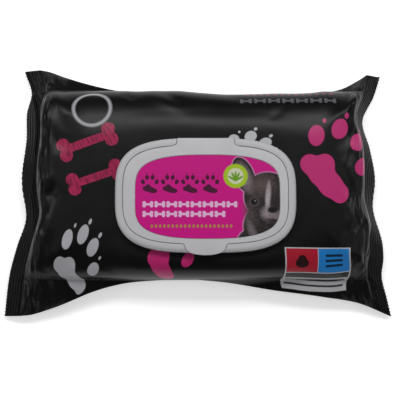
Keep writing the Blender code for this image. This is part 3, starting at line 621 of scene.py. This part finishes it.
def joined(tree, kind, values):  # largest, smallest, sum, difference or product of a list of values
    found = values[0]
    for value in values[1:]:
        found = add(tree, "Math", None, {0: found, 1: value}, operation=kind).outputs[0]
    return found


def local(tree, coords, place, turn, size):  # the pattern's own coordinates, -1 to 1 over its size
    return add(tree, "Mapping",
               {"Location": (*place, 0), "Rotation": (0, 0, math.radians(turn)), "Scale": (*size, 1)},
               {"Vector": coords}, vector_type="TEXTURE").outputs["Vector"]


def edgeMask(tree, distance, soft=0.04):  # 1 inside the outline at distance 1, 0 outside
    return add(tree, "MapRange", {"From Min": 1 + soft, "From Max": 1 - soft},
               {"Value": distance}).outputs[0]


def flatLength(tree, here):  # distance from the middle, in the plane of the print
    flat = add(tree, "VectorMath", {1: (1, 1, 0)}, {0: here}, operation="MULTIPLY").outputs[0]
    return add(tree, "VectorMath", None, {0: flat}, operation="LENGTH").outputs["Value"]


def spot(tree, coords, place, size, turn=0.0, soft=0.05):  # mask of an ellipse
    return edgeMask(tree, flatLength(tree, local(tree, coords, place, turn, size)), soft)


def squareReach(tree, coords, place, size):  # the larger local coordinate: 1 on the outline of a rectangle
    here = local(tree, coords, place, 0, size)
    away = add(tree, "VectorMath", None, {0: here}, operation="ABSOLUTE").outputs[0]
    parts = add(tree, "SeparateXYZ", None, {0: away})
    return joined(tree, "MAXIMUM", [parts.outputs[0], parts.outputs[1]])


def block(tree, coords, place, size, soft=0.02):  # mask of a rectangle
    return edgeMask(tree, squareReach(tree, coords, place, size), soft)


def slanted(tree, coords, place, right, up):  # a print's own coordinates, from its middle and its unit steps
    steps = np.linalg.inv(np.array([right, up]).T)
    away = add(tree, "VectorMath", {1: (*place, 0)}, {0: coords}, operation="SUBTRACT").outputs[0]
    x, y = (add(tree, "VectorMath", {1: (*step, 0)}, {0: away}, operation="DOT_PRODUCT").outputs["Value"]
            for step in steps)
    return add(tree, "CombineXYZ", None, {0: x, 1: y}).outputs[0]


def repeated(tree, coords, pitch):  # coordinates that start again every pitch along x, with 0 at each middle
    parts = add(tree, "SeparateXYZ", None, {0: coords})
    step = add(tree, "Math", {1: pitch}, {0: parts.outputs[0]}, operation="DIVIDE").outputs[0]
    part = add(tree, "Math", None, {0: step}, operation="FRACT").outputs[0]
    x = add(tree, "Math", {1: pitch, 2: -0.5 * pitch}, {0: part}, operation="MULTIPLY_ADD").outputs[0]
    return add(tree, "CombineXYZ", None, {0: x, 1: parts.outputs[1]}).outputs[0]


def blob(tree, coords, lobes):  # lobes that flow together: the sum of 1 / distance^4 is 1 on the outline
    fields = []
    for place, size in lobes:
        away = flatLength(tree, local(tree, coords, place, 0, (size, size)))
        fields.append(add(tree, "Math", {1: -4.0}, {0: away}, operation="POWER").outputs[0])
    return add(tree, "MapRange", {"From Min": 0.90, "From Max": 1.10},
               {"Value": joined(tree, "ADD", fields)}).outputs[0]


pawShape = {   # millimetres, with the toes upwards; toes and claws are those of the right half
    "pad": [((-12.8, 1.8), 5.8), ((-4.2, 7.6), 5.6), ((13.6, -4.2), 5.4), ((-3.8, 0.4), 7.3),
            ((5.4, -2.6), 7.4)],
    "toes": [((7.3, 31.3), (5.2, 6.7), -8), ((18.0, 19.6), (5.2, 6.7), -22)],
    "claws": [((7.7, 41.3), (1.5, 2.0), -8), ((18.4, 30.6), (1.1, 1.5), -20)],
    "height": 46.0, "middle": 18.0,
}


def pawMask(tree, here):  # one flowing pad, four toes and four claws
    parts = add(tree, "SeparateXYZ", None, {0: here})
    x = add(tree, "Math", None, {0: parts.outputs[0]}, operation="ABSOLUTE").outputs[0]
    half = add(tree, "CombineXYZ", None, {0: x, 1: parts.outputs[1]}).outputs[0]
    masks = [blob(tree, here, pawShape["pad"])]
    masks += [spot(tree, half, *toe) for toe in pawShape["toes"]]
    masks += [spot(tree, half, *claw, 0.15) for claw in pawShape["claws"]]
    return joined(tree, "MAXIMUM", masks)


def boneMask(tree, here, length, width):  # a shaft and a knuckle at each corner
    quarter = add(tree, "VectorMath", None, {0: here}, operation="ABSOLUTE").outputs[0]
    shaft = block(tree, here, (0, 0), (0.36 * length, 0.17 * width))
    knuckle = spot(tree, quarter, (0.37 * length, 0.22 * width), (0.27 * width, 0.27 * width))
    return joined(tree, "MAXIMUM", [shaft, knuckle])


def motifRow(tree, coords, kind, place, pitch, height, count):  # equal small motifs from the row's left end
    here = local(tree, coords, place, 0, (1, 1))
    cell = repeated(tree, here, pitch)
    if kind == "bones":
        mask = boneMask(tree, cell, 0.84 * pitch, height)
    elif kind == "dots":
        mask = spot(tree, cell, (0, 0), (0.30 * pitch, 0.5 * height))
    else:
        scale = height / pawShape["height"]
        mask = pawMask(tree, local(tree, cell, (0, -pawShape["middle"] * scale), 0, (scale, scale)))
    run = 0.5 * count * pitch
    return joined(tree, "MULTIPLY", [mask, block(tree, here, (run, 0), (run, height))])


def mixed(tree, kind, under, over, mask):  # over where the mask is 1; each of the two is a value or a socket
    mix = add(tree, "Mix", None, {0: mask}, data_type=kind)
    first, result = {"VECTOR": (4, 1), "RGBA": (6, 2)}[kind]   # the node's sockets for this kind of data
    for socket, value in ((mix.inputs[first], under), (mix.inputs[first + 1], over)):
        if isinstance(value, tuple):
            socket.default_value = value
        else:
            tree.links.new(value, socket)
    return mix.outputs[result]


def painted(tree, under, colour, mask):  # a colour laid over what is under it where the mask is 1
    return mixed(tree, "RGBA", under, linear(colour), mask)


def rowsPainted(tree, coords, colour, rows):  # rows of motifs over a colour
    for paint, *row in rows:
        colour = painted(tree, colour, paint, motifRow(tree, coords, *row))
    return colour


def dabbed(tree, coords, colour, dabs):  # soft ellipses one over another: place, size, turn, colour, edge
    for place, size, turn, paint, soft in dabs:
        colour = painted(tree, colour, paint, spot(tree, coords, place, size, turn, soft))
    return colour


def repeatedPrint(tree, coords, colour, prints, patch, draw):  # each claims a patch; one drawing serves all
    here, paint = (999.0, 999.0, 0.0), linear("#000000")   # far from the drawing, outside every patch
    for code, *sheet in prints:
        own = slanted(tree, coords, *sheet)
        claimed = add(tree, "Math", {1: 1.0}, {0: squareReach(tree, own, *patch)},
                      operation="LESS_THAN").outputs[0]
        here = mixed(tree, "VECTOR", here, own, claimed)
        paint = painted(tree, paint, code, claimed)
    return mixed(tree, "RGBA", colour, paint, draw(here))


# Places and sizes in millimetres of film. Each print is its colour, its middle and its unit steps to
# the right and up; each row is its colour, motif, left end, pitch, height and count.
filmPrint = {
    "ground": "#070708",
    "gloss": 0.19,
    "rough": (0.24, 0.40), "haze": 0.055,
    # dents, and the crinkles along the seals, which fade in and out at four distances from the middle:
    # size, stretch, strength of the bump and its depth
    "dents": [(46.0, 1.6, 0.30, 1.2), (9.0, 1.0, 0.14, 0.35), (2.2, 1.0, 0.10, 0.06)],
    "crinkle": (17.0, 0.34, 0.9, 5.0), "crinkled": (90.0, 106.0, 120.0, 124.0), "crinkleRough": 0.06,
    "hatch": (-60, (5.0, 1.0), 0.9),     # turn, stretch and scale of the strokes
    "paws": [("#bd2f72", (81.0, 5.0), (0.86, -0.54), (0.51, 0.87)),
             ("#b5266a", (-22.8, -52.9), (0.45, -0.47), (0.43, 0.71)),
             ("#acacb1", (-84.0, -60.3), (0.41, -0.56), (0.47, 0.79)),
             ("#b9babd", (27.6, 14.3), (0.63, -0.29), (0.34, 0.47))],
    "bones": [("#a82452", (-70.5, 27.5), (0.94, 0.34), (-0.34, 0.94)),
              ("#a82452", (-65.0, 5.0), (0.88, 0.30), (-0.32, 0.88))],
    "bone": (42.0, 16.0),
    "ring": {"place": (-67.8, 50.2), "outer": 12.8, "inner": 10.8, "colour": "#a4a4a8"},
    "rows": [("#5c5c61", "bones", (26.5, 56.5), 9.0, 4.2, 7),
             ("#6e2346", "dots", (29.8, 64.0), 4.5, 3.0, 13)],
    "panel": ((77.2, -57.3), (21.1, -0.3), (-1.3, 17.5)),
}


panel = {   # in shares of its half-width and half-height: fields and bars as middle, half-size and colour
    "fields": [((0, 0), (1.0, 1.0), "#b9b9bd"),
               ((-0.485, 0.48), (0.475, 0.48), "#a81e30"), ((0.485, 0.48), (0.475, 0.48), "#247cc4"),
               ((0, -0.20), (0.96, 0.16), "#1c1c1e"),
               ((0, -0.56), (0.90, 0.04), "#3a3a3c"), ((0, -0.78), (0.90, 0.04), "#3a3a3c")],
    "drop": [((-0.485, 0.42), 0.20), ((-0.485, 0.62), 0.10)], "dropColour": "#2a1216",
    "bars": [((0.485, height), (0.26, 0.05), "#0e2c46") for height in (0.30, 0.50, 0.70)],
}


def panelColour(tree, coords, colour):  # a bordered panel of plain fields that runs over the front edge
    here = slanted(tree, coords, *filmPrint["panel"])
    for place, size, paint in panel["fields"]:
        colour = painted(tree, colour, paint, block(tree, here, place, size, 0.01))
    colour = painted(tree, colour, panel["dropColour"], blob(tree, here, panel["drop"]))
    for place, size, paint in panel["bars"]:
        colour = painted(tree, colour, paint, block(tree, here, place, size))
    return colour


def filmColour(tree, coords):  # black ground, hatched bones, ring, paws, rows and panel
    turn, stretch, scale = filmPrint["hatch"]
    # the bones are hatched by hand: thin slanting strokes where the black shows through
    stroke = add(tree, "TexNoise", {"Scale": scale, "Detail": 2.0},
                 {"Vector": local(tree, coords, (0, 0), turn, stretch)}).outputs["Fac"]
    hatch = add(tree, "MapRange", {"From Min": 0.38, "From Max": 0.55, "To Min": 0.45},
                {"Value": stroke}).outputs[0]

    def hatchedBone(here):
        return joined(tree, "MULTIPLY", [boneMask(tree, here, *filmPrint["bone"]), hatch])
    colour = repeatedPrint(tree, coords, linear(filmPrint["ground"]), filmPrint["bones"], ((0, 0), (22, 9)),
                           hatchedBone)
    ring = filmPrint["ring"]
    discs = [spot(tree, coords, ring["place"], (ring[edge],) * 2) for edge in ("outer", "inner")]
    colour = painted(tree, colour, ring["colour"], joined(tree, "SUBTRACT", discs))
    colour = repeatedPrint(tree, coords, colour, filmPrint["paws"], ((0, 18), (27, 31)),
                           lambda here: pawMask(tree, here))
    colour = rowsPainted(tree, coords, colour, filmPrint["rows"])
    return panelColour(tree, coords, colour)


def blackLaminate():  # printed BOPP laminate: a satin black that takes soft wide highlights, dented all over
    made, tree, shader = newMaterial("black printed laminate film")
    flat = add(tree, "TexCoord").outputs["UV"]
    coords = add(tree, "VectorMath", {3: 1000.0}, {0: flat}, operation="SCALE").outputs[0]  # mm
    layers = []
    for size, stretch, strength, depth in filmPrint["dents"]:
        here = local(tree, coords, (0, 0), 0, (stretch, 1.0))
        dent = add(tree, "TexNoise", {"Scale": 1.0 / size, "Detail": 2.0}, {"Vector": here}).outputs["Fac"]
        layers.append((dent, strength, depth * mm))
    folded = add(tree, "VectorMath", None, {0: coords}, operation="ABSOLUTE").outputs[0]
    away = add(tree, "SeparateXYZ", None, {0: folded}).outputs[0]
    start, full, fade, end = filmPrint["crinkled"]
    ends = joined(tree, "MULTIPLY", [
        add(tree, "MapRange", {"From Min": low, "From Max": high}, {"Value": away}).outputs[0]
        for low, high in ((start, full), (end, fade))])
    size, stretch, strength, depth = filmPrint["crinkle"]
    crinkle = add(tree, "TexNoise", {"Scale": 1.0 / size, "Detail": 1.0, "Distortion": 0.3},
                  {"Vector": local(tree, coords, (0, 0), 0, (stretch, 1.0))}).outputs["Fac"]
    layers.append((joined(tree, "MULTIPLY", [crinkle, ends]), strength, depth * mm))
    haze = add(tree, "TexNoise", {"Scale": filmPrint["haze"], "Detail": 4.0}, {"Vector": coords})
    low, high = filmPrint["rough"]
    rough = add(tree, "MapRange", {"To Min": low, "To Max": high}, {"Value": haze.outputs["Fac"]})
    rough = add(tree, "Math", {1: filmPrint["crinkleRough"]}, {0: ends, 2: rough.outputs["Result"]},
                operation="MULTIPLY_ADD").outputs[0]
    linkAll(tree, shader, {"Base Color": filmColour(tree, coords), "Roughness": rough,
                           "Normal": relief(tree, layers)})
    shader.inputs["Specular IOR Level"].default_value = filmPrint["gloss"]
    return made


plastic = {
    "rubbed": "#b4b4b7", "clouds": 38.0, "rough": (0.32, 0.46),
    "spark": 0.4 * mm, "scratches": (28, (14.0, 1.0), 400.0), "depth": 0.05 * mm,
}


# moulded PP: cool grey white, a soft sheen from a fine spark finish, light rubs
def whitePolypropylene(name, code):
    made, tree, shader = newMaterial(name)
    coords = add(tree, "TexCoord").outputs["Object"]
    cloud = add(tree, "TexNoise", {"Scale": plastic["clouds"], "Detail": 3.0},
                {"Vector": coords}).outputs["Fac"]
    rubbed = add(tree, "MapRange", {"From Min": 0.35, "From Max": 0.75, "To Max": 0.5},
                 {"Value": cloud}).outputs[0]
    low, high = plastic["rough"]
    rough = add(tree, "MapRange", {"To Min": low, "To Max": high}, {"Value": cloud}).outputs[0]
    turn, stretch, scale = plastic["scratches"]
    scratch = add(tree, "TexNoise", {"Scale": scale, "Detail": 1.0},
                  {"Vector": local(tree, coords, (0, 0), turn, stretch)}).outputs["Fac"]
    spark = add(tree, "TexNoise", {"Scale": 1 / plastic["spark"], "Detail": 2.0},
                {"Vector": coords}).outputs["Fac"]
    normal = relief(tree, [(scratch, 0.05, plastic["depth"]), (spark, 0.06, plastic["depth"])])
    colour = painted(tree, linear(code), plastic["rubbed"], rubbed)
    linkAll(tree, shader, {"Base Color": colour, "Roughness": rough, "Normal": normal})
    return made


labelPrint = {   # millimetres from the label's middle
    "ground": "#c80081",
    "middle": (6.1, -8.5),
    "gloss": 0.2,
    "rough": (0.34, 0.46), "haze": 90.0,
    "rows": [("#460030", "paws", (-42.4, 8.9), 12.6, 11.0, 4),
             ("#e2b6d8", "bones", (-41.0, -4.9), 7.5, 4.0, 8),
             ("#e2b6d8", "bones", (-41.0, -11.0), 7.5, 4.0, 7),
             ("#a8843c", "dots", (-36.0, -18.6), 2.6, 2.2, 20)],
    # a dog's head of our own: its middle is between the eyes, and one unit is half its width
    "dog": ((37.5, -3.6), (15.0, 0.0), (0.0, 15.0)),
    "coat": "#241c1d", "halo": "#c48ab0", "haloWidth": 0.04,
    "head": [((0.02, 0.26), (1.00, 1.00), 0), ((0.10, -0.52), (0.80, 0.66), 0),
             ((-0.98, 1.14), (0.42, 0.80), 22), ((0.25, -1.00), (1.26, 1.05), 0),
             ((0.30, -1.75), (1.60, 0.95), 0)],
    "fur": [((-0.94, 1.04), (0.24, 0.56), 22, "#8d7d84", 0.50),
            ((-0.24, 0.72), (0.44, 0.36), 0, "#5a4b4b", 0.80),
            ((-0.72, -0.50), (0.20, 0.40), 20, "#4a3e40", 0.80),
            ((0.02, 0.24), (0.10, 0.54), -4, "#b3a9ad", 0.45),
            ((0.00, -0.46), (0.24, 0.24), 0, "#958a8f", 0.60),
            ((0.44, -0.60), (0.30, 0.18), -10, "#7f7478", 0.70),
            ((-0.66, -1.20), (0.12, 0.40), 24, "#75696d", 0.80)],
    # strands of fur: colour, where in the noise they start and are full, share
    "hairs": [("#0d0a0b", 0.50, 0.72, 0.70), ("#7d6f70", 0.46, 0.30, 0.38)],
    "face": [((-0.56, 0.02), (0.20, 0.19), 0, "#54474a", 0.35),
             ((-0.56, 0.02), (0.14, 0.14), 0, "#040303", 0.25),
             ((0.62, 0.02), (0.14, 0.15), 0, "#080606", 0.25),
             ((-0.52, 0.06), (0.03, 0.03), 0, "#8f898d", 0.4),
             ((0.20, -0.32), (0.20, 0.13), 0, "#070505", 0.25),
             ((0.28, -0.76), (0.30, 0.05), -8, "#171112", 0.7)],
    "badge": ((17.6, 13.0), (7.6, 0.0), (0.0, 7.6)),
    "discs": [((0, 0), (1, 1), 0, "#a3c21c", 0.05), ((0, 0), (0.66, 0.66), 0, "#ced3b4", 0.05)],
    "leaf": "#6a9a1e", "leaves": (-1.05, -0.5, 0.0, 0.5, 1.05),   # their turns in radians
}


def magentaLabel():  # printed film label: even magenta, rows of small motifs, a leaf badge and a dog's head
    made, tree, shader = newMaterial("magenta printed film label")
    place = add(tree, "TexCoord").outputs["Object"]
    scaled = add(tree, "VectorMath", {3: 1000.0}, {0: place}, operation="SCALE").outputs[0]
    coords = local(tree, scaled, labelPrint["middle"], 0, (1, 1))
    colour = rowsPainted(tree, coords, linear(labelPrint["ground"]), labelPrint["rows"])
    dog = slanted(tree, coords, *labelPrint["dog"])
    masks = []
    for grow in (labelPrint["haloWidth"], 0.0):
        masks.append(joined(tree, "MAXIMUM", [spot(tree, dog, at, (w + grow, h + grow), turn, 0.02)
                                              for at, (w, h), turn in labelPrint["head"]]))
    colour = painted(tree, colour, labelPrint["halo"], masks[0])
    colour = painted(tree, colour, labelPrint["coat"], masks[1])
    colour = dabbed(tree, dog, colour, labelPrint["fur"])
    hair = add(tree, "TexNoise", {"Scale": 9.0, "Detail": 4.0, "Distortion": 1.2},
               {"Vector": local(tree, dog, (0, 0), 65, (0.35, 1.0))}).outputs["Fac"]
    for paint, low, high, most in labelPrint["hairs"]:
        strands = add(tree, "MapRange", {"From Min": low, "From Max": high, "To Max": most},
                      {"Value": hair}).outputs[0]
        colour = painted(tree, colour, paint, joined(tree, "MULTIPLY", [masks[1], strands]))
    colour = dabbed(tree, dog, colour, labelPrint["face"])
    leaves = [((0.30 * math.sin(t), -0.42 + 0.40 * math.cos(t)), (0.09, 0.42), -math.degrees(t),
               labelPrint["leaf"], 0.05) for t in labelPrint["leaves"]]
    badge = slanted(tree, coords, *labelPrint["badge"])
    colour = dabbed(tree, badge, colour, labelPrint["discs"] + leaves)
    haze = add(tree, "TexNoise", {"Scale": labelPrint["haze"], "Detail": 3.0}, {"Vector": place})
    low, high = labelPrint["rough"]
    rough = add(tree, "MapRange", {"To Min": low, "To Max": high}, {"Value": haze.outputs["Fac"]})
    linkAll(tree, shader, {"Base Color": colour, "Roughness": rough.outputs["Result"]})
    shader.inputs["Specular IOR Level"].default_value = labelPrint["gloss"]
    return made


nonwoven = {
    "dry": "#eceeec", "damp": "#d3d8d5", "patches": 60.0, "rough": (0.50, 0.85), "sheen": 0.15,
    "dimple": 2.4 * mm, "dimpleDepth": 0.3 * mm, "fibre": 0.55 * mm, "fibreDepth": 0.12 * mm,
}


def moistNonwoven():  # spunlaced fibres: matt, damp in patches, embossed all over with small round dimples
    made, tree, shader = newMaterial("moist spunlaced nonwoven")
    coords = add(tree, "TexCoord").outputs["Object"]
    damp = add(tree, "TexNoise", {"Scale": nonwoven["patches"], "Detail": 2.0},
               {"Vector": coords}).outputs["Fac"]
    low, high = nonwoven["rough"]
    rough = add(tree, "MapRange", {"To Min": low, "To Max": high}, {"Value": damp}).outputs[0]
    cell = add(tree, "TexVoronoi", {"Scale": 1 / nonwoven["dimple"], "Randomness": 0.15},
               {"Vector": coords}).outputs["Distance"]
    fibres = add(tree, "TexNoise", {"Scale": 1 / nonwoven["fibre"], "Detail": 3.0},
                 {"Vector": coords}).outputs["Fac"]
    normal = relief(tree, [(cell, 0.5, nonwoven["dimpleDepth"]), (fibres, 0.4, nonwoven["fibreDepth"])])
    colour = painted(tree, linear(nonwoven["dry"]), nonwoven["damp"], damp)
    linkAll(tree, shader, {"Base Color": colour, "Roughness": rough, "Normal": normal})
    shader.inputs["Sheen Weight"].default_value = nonwoven["sheen"]
    return made


def wear(obj, material):
    obj.data.materials.clear()
    obj.data.materials.append(material)


print("materials")
wear(film, blackLaminate())
wear(rimPiece, whitePolypropylene("white moulded polypropylene, frame", "#bfbfc2"))
# the lid's white is painted a little lighter than the frame's: painted light standing in for a front fill
# light on the plate and tab
wear(lidPiece, whitePolypropylene("white moulded polypropylene, lid", "#c6c6c9"))
wear(labelPiece, magentaLabel())
wear(wipes, moistNonwoven())

# tilt in degrees from straight down; what the picture takes in across, in metres
view = {"tilt": 8.0, "distance": 0.80, "across": 0.2600, "aim": (1.4 * mm, -6.3 * mm, 12.0 * mm)}


def makeCamera():  # looks at the aim from straight above, tilted towards the front
    data = bpy.data.cameras.new("camera")
    cam = inScene("camera", data)
    tilt = math.radians(view["tilt"])
    cam.location = Vector(view["aim"]) + Vector((0, -math.sin(tilt), math.cos(tilt))) * view["distance"]
    cam.rotation_euler = (tilt, 0, 0)
    data.lens = data.sensor_width * view["distance"] / view["across"]
    data.clip_start = 0.01
    bpy.context.scene.camera = cam


studio = {
    "floor": "#f6f6f6", "floorReach": 3.0, "glow": 0.50, "world": 0.16,
    # softboxes that face the origin: place, size, power
    "lights": {"back softbox": ((0.0, 0.62, 1.10), (1.4, 0.34), 9.6),
               "left softbox": ((-0.95, -0.1, 0.85), (0.5, 1.2), 1.8),
               "right softbox": ((0.95, -0.1, 0.85), (0.5, 1.2), 1.8)},
}


def makeFloor():
    reach = studio["floorReach"]
    verts = np.array([(-reach, -reach, 0), (reach, -reach, 0), (reach, reach, 0), (-reach, reach, 0)], float)
    floor = meshObject("floor", verts, [(0, 1, 2, 3)])
    made, tree, shader = newMaterial("backlit white acrylic table")
    shader.inputs["Base Color"].default_value = linear(studio["floor"])
    shader.inputs["Roughness"].default_value = 0.9
    shader.inputs["Emission Color"].default_value = linear("#ffffff")
    shader.inputs["Emission Strength"].default_value = studio["glow"]
    wear(floor, made)


def makeLights():
    for name, (place, size, power) in studio["lights"].items():
        data = bpy.data.lights.new(name, "AREA")
        data.shape, data.size, data.size_y, data.energy = "RECTANGLE", *size, power
        lamp = inScene(name, data)
        lamp.location = place
        lamp.rotation_euler = (Vector((0, 0, 0)) - Vector(place)).to_track_quat("-Z", "Y").to_euler()
    world = bpy.data.worlds.new("studio")
    world.use_nodes = True
    world.node_tree.nodes["Background"].inputs["Color"].default_value = (1, 1, 1, 1)
    world.node_tree.nodes["Background"].inputs["Strength"].default_value = studio["world"]
    bpy.context.scene.world = world


print("stage")
makeCamera()
makeFloor()
makeLights()
bpy.context.scene.view_settings.view_transform = "Standard"
